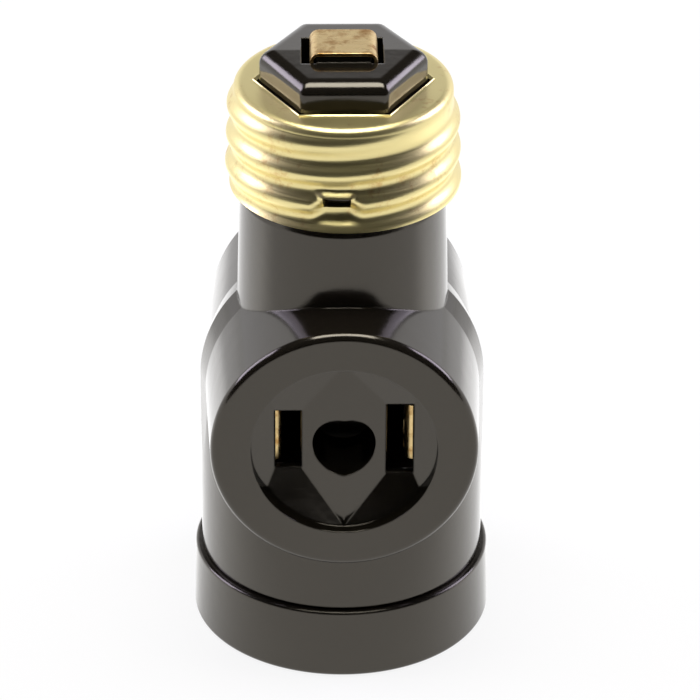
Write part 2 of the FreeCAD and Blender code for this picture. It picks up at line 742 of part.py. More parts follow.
def lamp_screw_shell():
    """Rolled brass shell that the lamp screws into, with a flat floor under the disc."""
    body = new_body("lamp_screw_shell")
    radius, wall = lamp_shell_radius, s.lamp_shell_wall
    round_low = disc_low - s.shell_top_round
    turned(body, outline(sketch(body, "cup", "XZ_Plane"), [
        (0, lamp_shell_low), (radius, lamp_shell_low), (radius, round_low),
        (radius - s.shell_top_round, disc_low), (0, disc_low)]))
    first = lamp_shell_low + s.thread_half_width
    rise = disc_low - first - s.thread_half_width * 1.6
    bead = bead_profile(sketch(body, "outer_bead", "XZ_Plane"), radius, first,
                        s.thread_half_width)
    thread(body, bead, rise, 0)
    turned(body, outline(sketch(body, "cavity", "XZ_Plane"), [
        (0, lamp_shell_low), (radius - wall, lamp_shell_low), (radius - wall, round_low),
        (radius - s.shell_top_round, lamp_floor_low), (0, lamp_floor_low)]), "Groove")
    hollow = bead_profile(sketch(body, "inner_bead", "XZ_Plane"), radius - wall, first,
                          s.thread_half_width - wall / 2)
    thread(body, hollow, rise, 0, "SubtractiveHelix")
    plan = circle(sketch(body, "floor_holes", "XY_Plane", out=disc_low), 0, 0,
                  s.lamp_floor_hole_radius)
    for side in (-1, 1):
        circle(plan, 0, screw_circle * side, s.screw_radius + s.screw_clearance)
    circle(plan, foot_rivet, 0, s.rivet_radius)
    bore(body, plan, wall * 3)
    return body


def rivet(label, grip):
    """One swaged rivet along X, its grip centred on the origin."""
    body = new_body(label)
    half, head = grip / 2, s.rivet_head
    section = outline(sketch(body, "rivet", "XY_Plane"), [
        (-half - head, 0), (-half - head, s.rivet_head_radius * 0.7), (-half, s.rivet_head_radius),
        (-half, s.rivet_radius), (half, s.rivet_radius), (half, s.rivet_head_radius),
        (half + head, s.rivet_head_radius * 0.7), (half + head, 0)])
    turned(body, section, axis="H_Axis")
    return body


def group(label, pieces):
    """Several separate solids as one node."""
    made = doc.addObject("Part::MultiFuse", label)
    made.Shapes = pieces
    made.Label = label
    return made


def placed(piece, x, y, z, turn=None):
    piece.Placement = Placement(Vector(as_size(x).value, as_size(y).value, as_size(z).value),
                                turn or Rotation())
    for letter, size in zip("xyz", (as_size(x), as_size(y), as_size(z))):
        if size.value:
            piece.setExpression("Placement.Base." + letter, size.text)
    return piece


def line_rivets():
    """Rivets of the line side: two leaves, the lamp's tongue and the strap's leg."""
    grip = s.strip_thickness + s.leaf_thickness
    middle = -s.strip_face + grip / 2
    made = [placed(rivet("line_leaf_rivet", grip), middle, s.rivet_pitch / 2 * side,
                   s.outlet_height) for side in (-1, 1)]
    made.append(placed(rivet("tongue_rivet", grip), middle, 0, tongue_joint))
    grip = s.strip_thickness + s.strap_thickness
    middle = -s.strap_half_span - s.strip_thickness + grip / 2
    made.append(placed(rivet("strap_rivet", grip), middle, 0, joint_level))
    return group("line_rivets", made)


def neutral_rivets():
    """Rivets of the neutral side: two leaves and the foot on the lamp shell's floor."""
    grip = s.strip_thickness + s.leaf_thickness
    middle = s.strip_face - grip / 2
    made = [placed(rivet("neutral_leaf_rivet", grip), middle, s.rivet_pitch / 2 * side,
                   s.outlet_height) for side in (-1, 1)]
    grip = s.strip_thickness + s.lamp_shell_wall
    made.append(placed(rivet("foot_rivet", grip), foot_rivet, 0, lamp_floor_low + grip / 2,
                       Rotation(Vector(0, 1, 0), QUARTER_TURN)))
    return group("neutral_rivets", made)


def shell_screws():
    """Two slotted screws up through the lamp shell's floor into the moulding."""
    made = []
    for side in (-1, 1):
        body = new_body("shell_screw")
        head, tip = lamp_floor_low, ceiling_height + s.screw_grip
        section = outline(sketch(body, "screw", "XZ_Plane"), [
            (0, head - s.screw_head), (s.screw_head_radius * 0.6, head - s.screw_head),
            (s.screw_head_radius, head - s.screw_head * 0.45), (s.screw_head_radius, head),
            (s.screw_radius, head), (s.screw_radius, tip - s.screw_point), (0, tip)])
        turned(body, section)
        slot = rectangle(sketch(body, "driver_slot", "XZ_Plane"), -s.screw_radius / 4,
                         head - s.screw_head - s.overcut, s.screw_radius / 4,
                         head - s.screw_head * 0.6)
        bore(body, slot, s.screw_head_radius * 3)
        made.append(placed(body, 0, screw_circle * side, 0))
    return group("shell_screws", made)


nodes = [upper_housing(), lower_ring(), base_screw_shell(), tip_contact(), line_strip(),
         neutral_strip(), lamp_tip_contact(), insulating_disc(), lamp_screw_shell(),
         line_rivets(), neutral_rivets(), shell_screws()]
for side_name, across in (("line", -1), ("neutral", 1)):
    for end_name, along in (("front", -1), ("rear", 1)):
        nodes.append(blade_contact("%s_%s_contact" % (end_name, side_name), across, along))
doc.recompute()

for thing in doc.Objects:
    if "Invalid" in thing.State or "Error" in thing.State:
        raise RuntimeError("%s is %s: %s" % (thing.Name, thing.State, thing.getStatusString()))
os.makedirs("parts", exist_ok=True)
for node in nodes:
    if node.Shape.isNull() or not node.Shape.isValid():
        raise RuntimeError("bad shape in " + node.Label)
    node.Shape.exportStep("parts/%s.step" % node.Label)
    print(node.Label, len(node.Shape.Solids), round(node.Shape.Volume, 1))
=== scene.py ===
import math

import bmesh
import bpy
from mathutils import Matrix, Vector


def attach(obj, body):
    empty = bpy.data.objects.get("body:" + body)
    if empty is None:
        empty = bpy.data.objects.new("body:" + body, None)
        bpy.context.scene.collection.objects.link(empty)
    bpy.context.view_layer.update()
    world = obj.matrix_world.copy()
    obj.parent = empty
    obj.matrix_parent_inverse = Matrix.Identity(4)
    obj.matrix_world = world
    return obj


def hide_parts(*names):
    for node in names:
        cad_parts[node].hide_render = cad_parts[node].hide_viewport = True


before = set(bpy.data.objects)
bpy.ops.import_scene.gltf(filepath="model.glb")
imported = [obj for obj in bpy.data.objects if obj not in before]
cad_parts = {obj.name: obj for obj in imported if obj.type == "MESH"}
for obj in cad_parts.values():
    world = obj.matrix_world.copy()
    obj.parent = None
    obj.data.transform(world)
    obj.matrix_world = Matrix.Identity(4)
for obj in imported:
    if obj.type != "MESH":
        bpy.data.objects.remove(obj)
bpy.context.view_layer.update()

# Upper housing. One black phenolic moulding: a foot cylinder, two round outlet bosses that meet
# in a parting ridge, a tapered neck and a hexagonal post. Compression moulded in a two-part
# mould, so its faces are glossy, its edges slightly soft and its parting lines show.
MM = 0.001
FOOT_LOW, SPIGOT_R, RING_TOP, BODY_R, FOOT_EDGE = 2.8, 15.3, 8.6, 16.4, 0.25
OUTLET_Z, FACE_Y = 30.7, 17.9
BOSS_R, BOSS_ROOT_R, BOSS_EDGE, RIDGE_HALF = 15.15, 15.8, 0.9, 3.6
RIDGE_RUN, RIDGE_ROWS = 9, 30


def softened(points, steps=12):
    """Points of a path (a, b) or (a, b, radius): a corner with a radius becomes an arc."""
    made = []
    count = len(points)
    for i, point in enumerate(points):
        corner = Vector(point[:2])
        if len(point) == 2:
            made.append(corner)
            continue
        before = (Vector(points[i - 1][:2]) - corner).normalized()
        after = (Vector(points[(i + 1) % count][:2]) - corner).normalized()
        half = before.angle(after) / 2
        middle = corner + (before + after).normalized() * (point[2] / math.sin(half))
        start = corner + before * (point[2] / math.tan(half)) - middle
        end = corner + after * (point[2] / math.tan(half)) - middle
        sweep = start.angle_signed(end)
        for step in range(steps + 1):
            turn = Matrix.Rotation(-sweep * step / steps, 2)
            made.append(middle + turn @ start)
    return made


def flat_face(face):
    """Whether all corners of a face lie in one plane."""
    middle = face.calc_center_median()
    return all(abs((vertex.co - middle).dot(face.normal)) < 1e-5 for vertex in face.verts)


def mesh_of(name, corners, faces):
    """A closed mesh from corners in millimetres, its faces turned outwards."""
    mesh = bpy.data.meshes.new(name)
    mesh.from_pydata([Vector(c) for c in corners], [], faces)
    work = bmesh.new()
    work.from_mesh(mesh)
    bmesh.ops.remove_doubles(work, verts=work.verts, dist=1e-5)
    bmesh.ops.triangulate(work, faces=[
        face for face in work.faces if len(face.verts) > 3 and not flat_face(face)])
    bmesh.ops.recalc_face_normals(work, faces=work.faces)
    work.to_mesh(mesh)
    work.free()
    piece = bpy.data.objects.new(name, mesh)
    bpy.context.scene.collection.objects.link(piece)
    return piece


def turned(name, path, steps=256, along="Z", height=0.0):
    """A body of revolution from a path of (radius, place along the axis)."""
    corners, faces, rows = [], [], []
    for radius, place in path:
        row = []
        for step in range(steps if radius > 1e-6 else 1):
            angle = 2 * math.pi * (step + 0.5) / steps
            a, b = radius * math.cos(angle), radius * math.sin(angle)
            row.append(len(corners))
            corners.append((a, b, place) if along == "Z" else (a, place, b + height))
        rows.append(row)
    ring_shaped = len(rows[0]) > 1 and len(rows[-1]) > 1
    for low, high in list(zip(rows, rows[1:])) + ([(rows[-1], rows[0])] if ring_shaped else []):
        for step in range(steps):
            after = (step + 1) % steps
            ring = [low[step % len(low)], low[after % len(low)],
                    high[after % len(high)], high[step % len(high)]]
            faces.append(list(dict.fromkeys(ring)))
    return mesh_of(name, corners, [face for face in faces if len(face) > 2])


foot_rows = [OUTLET_Z - RIDGE_RUN + step * RIDGE_RUN / RIDGE_ROWS
             for step in range(RIDGE_ROWS + 1)]
foot = turned("upper_housing_body", softened(
    [(0, FOOT_LOW), (SPIGOT_R, FOOT_LOW), (SPIGOT_R, RING_TOP), (BODY_R - FOOT_EDGE, RING_TOP),
     (BODY_R, RING_TOP + FOOT_EDGE)] + [(BODY_R, z) for z in foot_rows] + [(0, OUTLET_Z)]))
ridge_fall = math.atan((BODY_R - BOSS_ROOT_R) / RIDGE_HALF)
for vertex in foot.data.vertices:
    # the flanks of the parting ridge run out softly down the foot cylinder
    x, y, z = vertex.co
    if z > foot_rows[0] and math.hypot(x, y) > BODY_R - 0.01:
        lean = (1 - math.cos(ridge_fall)) * BODY_R * (1 - (z - foot_rows[0]) / RIDGE_RUN)
        over = ((abs(x) - BODY_R - lean) * math.cos(ridge_fall)
                + abs(y) * math.sin(ridge_fall))
        if over > 0:
            vertex.co.x -= math.copysign(over * math.cos(ridge_fall), x)
            vertex.co.y -= math.copysign(over * math.sin(ridge_fall), y)
barrel = turned("barrel", softened(
    [(0, -FACE_Y), (BOSS_R, -FACE_Y, BOSS_EDGE), (BOSS_ROOT_R, -RIDGE_HALF), (BODY_R, 0),
     (BOSS_ROOT_R, RIDGE_HALF), (BOSS_R, FACE_Y, BOSS_EDGE), (0, FACE_Y)], 24),
    along="Y", height=OUTLET_Z)

# the neck's top is relieved under the screw shell, which sits round the seat
NECK_LOW, NECK_FOOT_R, NECK_TOP_R, NECK_BREAK, NECK_EDGE = OUTLET_Z - 3.1, 12.45, 11.76, 54.8, 0.8
NECK_TOP, SEAT_R, SEAT_DRAFT, SEAT_TOP = 56.9, 11.25, 0.02, 68.4
neck = turned("neck", softened([
    (0, NECK_LOW), (NECK_FOOT_R, NECK_LOW), (NECK_TOP_R, NECK_BREAK, NECK_EDGE),
    (SEAT_R + SEAT_DRAFT, NECK_TOP), (SEAT_R, NECK_TOP), (SEAT_R, SEAT_TOP), (0, SEAT_TOP)]))

POST_FLATS, POST_CORNER, POST_ROUND, POST_TOP = 16.6, 0.9, 1.7, 72.55
ROOF_FALL, CORNER_MIN, ROUND_ROWS = 0.04, 0.3, 12


def hexagon_ring(flats, radius, height):
    """Corners of a hexagon with rounded corners, two of them on the left-right axis."""
    corner = flats / math.sqrt(3)
    path = [(corner * math.cos(math.radians(60 * k)), corner * math.sin(math.radians(60 * k)),
             radius) for k in range(6)]
    return [(p.x, p.y, height) for p in softened(path, 6)]


post_rows = [hexagon_ring(POST_FLATS, POST_CORNER, SEAT_TOP - 1)]
for step in range(ROUND_ROWS + 1):
    angle = math.pi / 2 * step / ROUND_ROWS
    inset = POST_ROUND * (1 - math.cos(angle))
    row = hexagon_ring(POST_FLATS - 2 * inset, max(POST_CORNER - inset * 0.3, CORNER_MIN),
                       POST_TOP - POST_ROUND * (1 - math.sin(angle)))
    # the top falls off a little to the front and rear of its parting line
    post_rows.append([(x, y, z - ROOF_FALL * abs(y) * math.sin(angle)) for x, y, z in row])
sides = len(post_rows[0])
corners = [corner for row in post_rows for corner in row]
faces = [[low * sides + i, low * sides + (i + 1) % sides, (low + 1) * sides + (i + 1) % sides,
          (low + 1) * sides + i] for low in range(len(post_rows) - 1) for i in range(sides)]
last = (len(post_rows) - 1) * sides
middle = [i for i in range(sides) if abs(post_rows[-1][i][1]) < 1e-6]
if len(middle) != 2:
    raise RuntimeError("the post's parting line needs two corners, found %d" % len(middle))
faces += [[last + i for i in range(middle[0], middle[1] + 1)],
          [last + i for i in list(range(middle[1], sides)) + list(range(0, middle[0] + 1))],
          list(range(sides))]
post = mesh_of("post", corners, faces)


def block(name, low, high):
    """A plain block between two corners."""
    corners = [(x, y, z) for x in (low[0], high[0]) for y in (low[1], high[1])
               for z in (low[2], high[2])]
    return mesh_of(name, corners, [(0, 1, 3, 2), (4, 6, 7, 5), (0, 4, 5, 1), (2, 3, 7, 6),
                                   (0, 2, 6, 4), (1, 5, 7, 3)])


def finished(piece):
    """Applies the piece's modifiers, so that only a plain mesh is left."""
    graph = bpy.context.evaluated_depsgraph_get()
    mesh = bpy.data.meshes.new_from_object(piece.evaluated_get(graph))
    piece.modifiers.clear()
    old, piece.data = piece.data, mesh
    bpy.data.meshes.remove(old)
    return piece


def carved(piece, operation, tools):
    """Joins to, or cuts from, the piece each of the tools, which are used up."""
    for tool in tools:
        step = piece.modifiers.new(operation, "BOOLEAN")
        step.operation = operation
        step.solver = "EXACT"
        step.object = tool
        finished(piece)
        bpy.data.objects.remove(tool)
    return piece


# the strap's crown lies on a low pad
PAD_HALF_X, PAD_HALF_Y, PAD_TOP = 3.05, 2.97, 73.12
pad = block("pad", (-PAD_HALF_X, -PAD_HALF_Y, POST_TOP - 1), (PAD_HALF_X, PAD_HALF_Y, PAD_TOP))
housing = carved(foot, "UNION", [barrel, neck, post, pad])

# the outlets: a round recess front and back, with four slopes to each blade slot and a hole for
# a round pin between them; the slots' mouths and throats are (side, half width, half length,
# throat width, throat length), and the wide one is on the neutral side
RECESS_R, RECESS_WALL, RECESS_BLANK, HOPPER = 10.6, 1.3, 11.5, 1.7
SLOPE_OVERRUN, LEAD_IN, LEAD_DEPTH, SLOT_X = 0.4, 0.2, 0.35, 6.35
SLOTS = ((-1, 1.55, 3.75, 2.86, 7.3), (1, 1.58, 4.53, 2.92, 8.86))
THROAT_IN, THROAT_OUT = 13.5, 17.1
PIN_R, PIN_DROP, PIN_POINT, PIN_END, PIN_OUT = 3.6, 0.3, 6.4, 8.2, 17.3
recess_floor = FACE_Y - RECESS_WALL
past = 1 + SLOPE_OVERRUN / HOPPER
outlet_tools = []
for facing in (-1, 1):
    low, high = sorted(((recess_floor + 0.05) * facing, (FACE_Y + 1) * facing))
    recess = block("recess", (-RECESS_BLANK, low, OUTLET_Z - RECESS_BLANK),
                   (RECESS_BLANK, high, OUTLET_Z + RECESS_BLANK))
    for side, half_width, half_length, *_ in SLOTS:
        # the slopes start a little above the recess floor
        slot_x, inner, outer = SLOT_X * side, 0.0, RECESS_R * side
        spread = [slot_x + (end - slot_x - half) * past + half for end, half in sorted(
            ((inner, half_width * -side), (outer, half_width * side)))]
        # and end in a small lead-in round the slot's mouth
        rows = [(slot_x - half_width + LEAD_IN, slot_x + half_width - LEAD_IN,
                 half_length - LEAD_IN, recess_floor - HOPPER - LEAD_DEPTH),
                (slot_x - half_width, slot_x + half_width, half_length, recess_floor - HOPPER),
                (*spread, half_length + (RECESS_R - half_length) * past,
                 recess_floor + SLOPE_OVERRUN)]
        corners = [(x, y * facing, OUTLET_Z + z) for low, high, tall, y in rows
                   for x, z in ((low, -tall), (high, -tall), (high, tall), (low, tall))]
        faces = [(0, 1, 2, 3), (8, 9, 10, 11)] + [
            (row + i, row + (i + 1) % 4, row + 4 + (i + 1) % 4, row + 4 + i)
            for row in (0, 4) for i in range(4)]
        carved(recess, "UNION", [mesh_of("hopper", corners, faces)])
    # each cutter has steps of its own, so that no corner of one falls on an edge of another
    drum = turned("drum", [(0, 10 * facing), (RECESS_R, 10 * facing), (RECESS_R, 20 * facing),
                           (0, 20 * facing)], 240, "Y", OUTLET_Z)
    carved(recess, "INTERSECT", [drum])
    openings = [turned("centre_hole", [
        (0, PIN_POINT * facing), (PIN_R, PIN_END * facing), (PIN_R, PIN_OUT * facing),
        (0, PIN_OUT * facing)], 90, "Y", OUTLET_Z - PIN_DROP)]
    openings += [
        block("blade_slot", (SLOT_X * side - width / 2, THROAT_IN * facing, OUTLET_Z - tall / 2),
              (SLOT_X * side + width / 2, THROAT_OUT * facing, OUTLET_Z + tall / 2))
        for side, _, _, width, tall in SLOTS]
    outlet_tools.append(carved(recess, "UNION", openings))

# inside: a chamber for the blade contacts each side, wells behind the slots with a web each side
# of the strips to back the blades, the strips' channels, the strap's slots and the lamp's bore
LAMP_BORE, LAMP_LOW, CEILING, CHAMBER_TOP = 13.9, 2.6, 22.6, 36.2
for side, slot_end in ((-1, 4.75), (1, 4.45)):
    for name, near, far, start, end, low, high in (
            ("contact_chamber", 7.05, 9.2, -14, 14, CEILING - 0.5, CHAMBER_TOP),
            ("blade_well", 4.7, 7.4, -13.95, -4, CEILING - 0.45, CHAMBER_TOP - 0.05),
            ("blade_well", 4.7, 7.4, -3.1, 3.1, CEILING - 0.45, CHAMBER_TOP - 0.05),
            ("blade_well", 4.7, 7.4, 4, 13.95, CEILING - 0.45, CHAMBER_TOP - 0.05),
            ("strip_channel", 2.5, 9.1, -3.2, 3.2, CHAMBER_TOP - 0.1, 66.2),
            ("post_slot", 3.1, slot_end, -3.2, 3.2, 66, POST_TOP + 1)):
        outlet_tools.append(block(name, (near * side, start, low), (far * side, end, high)))
outlet_tools.append(turned("lamp_chamber", [
    (0, LAMP_LOW), (LAMP_BORE, LAMP_LOW), (LAMP_BORE, CEILING), (0, CEILING)], 128))
carved(housing, "DIFFERENCE", outlet_tools)


def settled(piece, degrees):
    """Brings millimetres to metres and shades smooth, with edges past the angle left crisp."""
    work = bmesh.new()
    work.from_mesh(piece.data)
    bmesh.ops.scale(work, vec=(MM, MM, MM), verts=work.verts)
    for face in work.faces:
        face.smooth = True
    for edge in work.edges:
        edge.smooth = len(edge.link_faces) == 2 and edge.calc_face_angle(0) < math.radians(degrees)
    work.to_mesh(piece.data)
    work.free()
    # large flat faces keep their own direction and the small faces round them give way
    weights = piece.modifiers.new("flat_faces", "WEIGHTED_NORMAL")
    weights.keep_sharp = True
    return finished(piece)


def node(tree, kind, inputs=None, **settings):
    """Adds one node: settings are its own, inputs are numbers, colours or other nodes' sockets."""
    made = tree.nodes.new(kind)
    for name, value in settings.items():
        setattr(made, name, value)
    for name, value in (inputs or {}).items():
        if isinstance(value, bpy.types.NodeSocket):
            tree.links.new(value, made.inputs[name])
        else:
            made.inputs[name].default_value = value
    return made


def linear(hex_colour):
    """An sRGB hex colour as linear red, green, blue and alpha."""
    made = []
    for start in (0, 2, 4):
        level = int(hex_colour[start:start + 2], 16) / 255
        made.append(level / 12.92 if level <= 0.04045 else ((level + 0.055) / 1.055) ** 2.4)
    return (*made, 1.0)


def new_material(name):
    """A material with an empty tree, and the place on the object in metres."""
    material = bpy.data.materials.new(name)
    material.use_nodes = True
    tree = material.node_tree
    tree.nodes.clear()
    return material, tree, node(tree, "ShaderNodeTexCoord").outputs["Object"]


def coat(piece, material):
    """Gives the piece one finish all over."""
    piece.data.materials.clear()
    piece.data.materials.append(material)


# phenolic, compression moulded and handled: deep black gloss with a warm cast, duller patches
# about 7 mm wide, a faint orange peel of 2.4 mm from the mould, and hairline scratches drawn
# 0.2 mm apart so that they show
phenolic, tree, place = new_material("phenolic_moulded_gloss")
patches = node(tree, "ShaderNodeTexNoise", {"Vector": place, "Scale": 140.0, "Detail": 4.0})
gloss = node(tree, "ShaderNodeMapRange", {"Value": patches.outputs["Fac"], "From Min": 0.3,
                                          "From Max": 0.7, "To Min": 0.09, "To Max": 0.16})
peel = node(tree, "ShaderNodeTexNoise", {"Vector": place, "Scale": 420.0, "Detail": 2.0})
peel_bump = node(tree, "ShaderNodeBump", {"Height": peel.outputs["Fac"], "Strength": 0.08,
                                          "Distance": 0.0002})
rubbed = node(tree, "ShaderNodeMapping", {"Vector": place, "Rotation": (0.5, 0.6, 0.0),
                                          "Scale": (260.0, 260.0, 5200.0)})
hairs = node(tree, "ShaderNodeTexNoise", {"Vector": rubbed.outputs[0], "Scale": 1.0,
                                          "Detail": 2.0})
scratches = node(tree, "ShaderNodeMapRange", {"Value": hairs.outputs["Fac"], "From Min": 0.6,
                                              "From Max": 0.72})
scratch_bump = node(tree, "ShaderNodeBump", {
    "Height": scratches.outputs[0], "Strength": 0.03, "Distance": 0.00004,
    "Normal": peel_bump.outputs[0]})
soft_edge = node(tree, "ShaderNodeBevel", {"Radius": 0.0003, "Normal": scratch_bump.outputs[0]},
                 samples=6)
moulded = node(tree, "ShaderNodeBsdfPrincipled", {
    "Base Color": linear("17140f"), "Roughness": gloss.outputs[0], "IOR": 1.7,
    "Specular Tint": linear("fff6e6"), "Normal": soft_edge.outputs[0]})
node(tree, "ShaderNodeOutputMaterial", {"Surface": moulded.outputs[0]})
settled(housing, 5)
coat(housing, phenolic)
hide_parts("upper_housing")
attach(housing, "root")

# Lower ring. A second phenolic moulding that snaps over the spigot of the body and covers the
# lamp shell's mouth; its outside is turned smooth, with a thin ledge round the body's foot.
MOUTH_R, RING_FOOT_R, RING_TOP_R, RING_EDGE, RIM_EDGE = 14.6, 17.3, 17.1, 0.5, 0.4
SNAP_R, SNAP_FLOOR, MOUTH_LIP_R, MOUTH_LIP_LOW = 15.45, 2.6, 14.0, 0.6
ring = turned("lower_ring_body", softened([
    (MOUTH_R, 0), (RING_FOOT_R, 0, RING_EDGE), (RING_TOP_R, RING_TOP, RIM_EDGE),
    (SNAP_R, RING_TOP), (SNAP_R, SNAP_FLOOR), (MOUTH_LIP_R, SNAP_FLOOR),
    (MOUTH_LIP_R, MOUTH_LIP_LOW)]))
settled(ring, 5)
coat(ring, phenolic)
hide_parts("lower_ring")
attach(ring, "root")

# Screw shell on top. Thin brass sheet, drawn to a cup and rolled with a round right-hand thread;
# a hexagonal hole keys it over the post, a lanced tab front and back grips the neck, and its
# lower edge is trimmed straight through the last turn.
TURN = 2 * math.pi


def rolled_shell_tree():
    """Geometry Nodes for a rolled screw shell: a sheet of columns and rows bent to a cup."""
    tree = bpy.data.node_groups.new("rolled_screw_shell", "GeometryNodeTree")
    tree.interface.new_socket("Geometry", in_out="OUTPUT", socket_type="NodeSocketGeometry")
    for name in ("Low", "Top", "Low Radius", "Slope", "Corner", "Pitch", "Depth", "Crest Height",
                 "Fade Start", "Fade End", "Hole Apothem", "Hexagonal", "Tab Low", "Slot Low",
                 "Slot High", "Slot Middle", "Slot Half Angle", "Tab Depth", "Lip"):
        tree.interface.new_socket(name, in_out="INPUT", socket_type="NodeSocketFloat")
    for name in ("Columns", "Wall Rows", "Corner Rows", "Plate Rows"):
        tree.interface.new_socket(name, in_out="INPUT", socket_type="NodeSocketInt")
    tree.interface.new_socket("Material", in_out="INPUT", socket_type="NodeSocketMaterial")
    given = node(tree, "NodeGroupInput").outputs
    spot = node(tree, "ShaderNodeSeparateXYZ", {
        0: node(tree, "GeometryNodeInputPosition").outputs[0]}).outputs
    known = {socket.name: socket for socket in [*given, *spot]}
    # each row: what it gives, how, and from what; LINEAR and SMOOTHSTEP bring a value from one
    # range to another
    for name, way, *values in (
            ("across", "ADD", "Columns", 1),
            ("rows to plate", "ADD", "Wall Rows", "Corner Rows"),
            ("rows", "ADD", "rows to plate", "Plate Rows"),
            ("down", "ADD", "rows", 1),
            ("angle", "MULTIPLY", "X", TURN),
            ("share down", "ADD", "Y", 0.5),
            ("row", "MULTIPLY", "share down", "rows"),
            # the wall's height, then how far round the corner and in across the plate a row is
            ("wall top", "SUBTRACT", "Top", "Corner"),
            ("rows up", "DIVIDE", "row", "Wall Rows"),
            ("wall share", "MINIMUM", "rows up", 1.0),
            ("tall", "SUBTRACT", "wall top", "Low"),
            ("up", "MULTIPLY", "tall", "wall share"),
            ("height", "ADD", "Low", "up"),
            ("rows past wall", "SUBTRACT", "row", "Wall Rows"),
            ("past wall", "MAXIMUM", "rows past wall", 0.0),
            ("rows round", "DIVIDE", "past wall", "Corner Rows"),
            ("round share", "MINIMUM", "rows round", 1.0),
            ("bend", "MULTIPLY", "round share", math.pi / 2),
            # rows lie closer together towards the hole, whose edge is turned up to a fine lip
            ("rows past corner", "SUBTRACT", "past wall", "Corner Rows"),
            ("past corner", "MAXIMUM", "rows past corner", 0.0),
            ("rows in", "DIVIDE", "past corner", "Plate Rows"),
            ("outward", "SUBTRACT", 1.0, "rows in"),
            ("outward squared", "MULTIPLY", "outward", "outward"),
            ("inward", "SUBTRACT", 1.0, "outward squared"),
            ("lip share", "LINEAR", "inward", 0.93, 1.0, 0.0, 1.0),
            ("lip", "MULTIPLY", "lip share", "Lip"),
            # the thread: distance to the nearest crest in turns, and that crest's height
            ("angle round", "ADD", "angle", math.pi / 2),
            ("climb", "MULTIPLY", "angle round", 1 / TURN),
            ("above crest", "SUBTRACT", "height", "Crest Height"),
            ("above", "DIVIDE", "above crest", "Pitch"),
            ("turns", "SUBTRACT", "above", "climb"),
            ("whole turns", "ROUND", "turns"),
            ("off crest", "SUBTRACT", "turns", "whole turns"),
            ("below crest", "MULTIPLY", "off crest", "Pitch"),
            ("crest", "SUBTRACT", "height", "below crest"),
            ("phase", "MULTIPLY", "off crest", TURN),
            ("swing", "COSINE", "phase"),
            ("raised", "ADD", "swing", 1.0),
            ("rolled", "MULTIPLY", "raised", 0.5),
            ("fade", "SMOOTHSTEP", "crest", "Fade Start", "Fade End", 1.0, 0.0),
            # the lanced tabs, half a turn apart, pushed in below their slots; above a slot the
            # sheet stands straight up
            ("half turn", "FLOORED_MODULO", "angle", math.pi),
            ("off slot", "SUBTRACT", "half turn", "Slot Middle"),
            ("from slot", "ABSOLUTE", "off slot"),
            ("aside", "SUBTRACT", "from slot", "Slot Half Angle"),
            ("hold", "SMOOTHSTEP", "aside", math.radians(-1.5), math.radians(7), 1.0, 0.0),
            ("straight end", "ADD", "Slot High", 0.9),
            ("straight", "SMOOTHSTEP", "height", "Slot High", "straight end", 1.0, 0.0),
            ("over slot low", "GREATER_THAN", "height", "Slot Low"),
            ("under slot high", "LESS_THAN", "height", "Slot High"),
            ("held straight", "MULTIPLY", "hold", "straight"),
            ("brow", "MULTIPLY", "held straight", "over slot low"),
            ("wave", "MAXIMUM", "rolled", "brow"),
            ("faded wave", "MULTIPLY", "wave", "fade"),
            ("bulge", "MULTIPLY", "faded wave", "Depth"),
            ("push", "LINEAR", "height", "Tab Low", "Slot Low", 0.0, "Tab Depth"),
            ("below", "SMOOTHSTEP", "height", "Slot Low", "Slot High", 1.0, 0.0),
            ("held push", "MULTIPLY", "hold", "push"),
            ("dent", "MULTIPLY", "held push", "below"),
            # the radius and the level of every corner of the sheet
            ("above low", "SUBTRACT", "height", "Low"),
            ("drift", "MULTIPLY", "above low", "Slope"),
            ("bulged", "ADD", "Low Radius", "bulge"),
            ("drifted", "SUBTRACT", "bulged", "drift"),
            ("wall", "SUBTRACT", "drifted", "dent"),
            ("bend cosine", "COSINE", "bend"),
            ("bend gap", "SUBTRACT", 1.0, "bend cosine"),
            ("round in", "MULTIPLY", "Corner", "bend gap"),
            ("cornered", "SUBTRACT", "wall", "round in"),
            # the plate's hole: a circle or a hexagon, as a distance from the axis at each angle
            ("sixth turn", "FLOORED_MODULO", "angle", math.pi / 3),
            ("off flat", "SUBTRACT", "sixth turn", math.pi / 6),
            ("off flat angle", "MULTIPLY", "off flat", "Hexagonal"),
            ("off flat cosine", "COSINE", "off flat angle"),
            ("stretch", "DIVIDE", 1.0, "off flat cosine"),
            ("hole", "MULTIPLY", "Hole Apothem", "stretch"),
            ("to hole", "SUBTRACT", "hole", "cornered"),
            ("in", "MULTIPLY", "to hole", "inward"),
            ("radius", "ADD", "cornered", "in"),
            ("lipped", "ADD", "height", "lip"),
            ("bend sine", "SINE", "bend"),
            ("round up", "MULTIPLY", "Corner", "bend sine"),
            ("level", "ADD", "lipped", "round up"),
            ("angle cosine", "COSINE", "angle"),
            ("angle sine", "SINE", "angle"),
            ("place x", "MULTIPLY", "radius", "angle cosine"),
            ("place y", "MULTIPLY", "radius", "angle sine"),
            ("inside aside", "LESS_THAN", "aside", 0.0),
            ("in slot height", "MULTIPLY", "over slot low", "under slot high"),
            ("in slot", "MULTIPLY", "inside aside", "in slot height")):
        inputs = {i: known[value] if isinstance(value, str) else value
                  for i, value in enumerate(values)}
        if way in ("LINEAR", "SMOOTHSTEP"):
            made = node(tree, "ShaderNodeMapRange", inputs, interpolation_type=way)
        else:
            made = node(tree, "ShaderNodeMath", inputs, operation=way)
        known[name] = made.outputs[0]
    sheet = node(tree, "GeometryNodeMeshGrid", {
        "Size X": 1.0, "Size Y": 1.0, "Vertices X": known["across"],
        "Vertices Y": known["down"]})
    slotted = node(tree, "GeometryNodeDeleteGeometry", {
        "Geometry": sheet.outputs[0], "Selection": known["in slot"]}, domain="FACE")
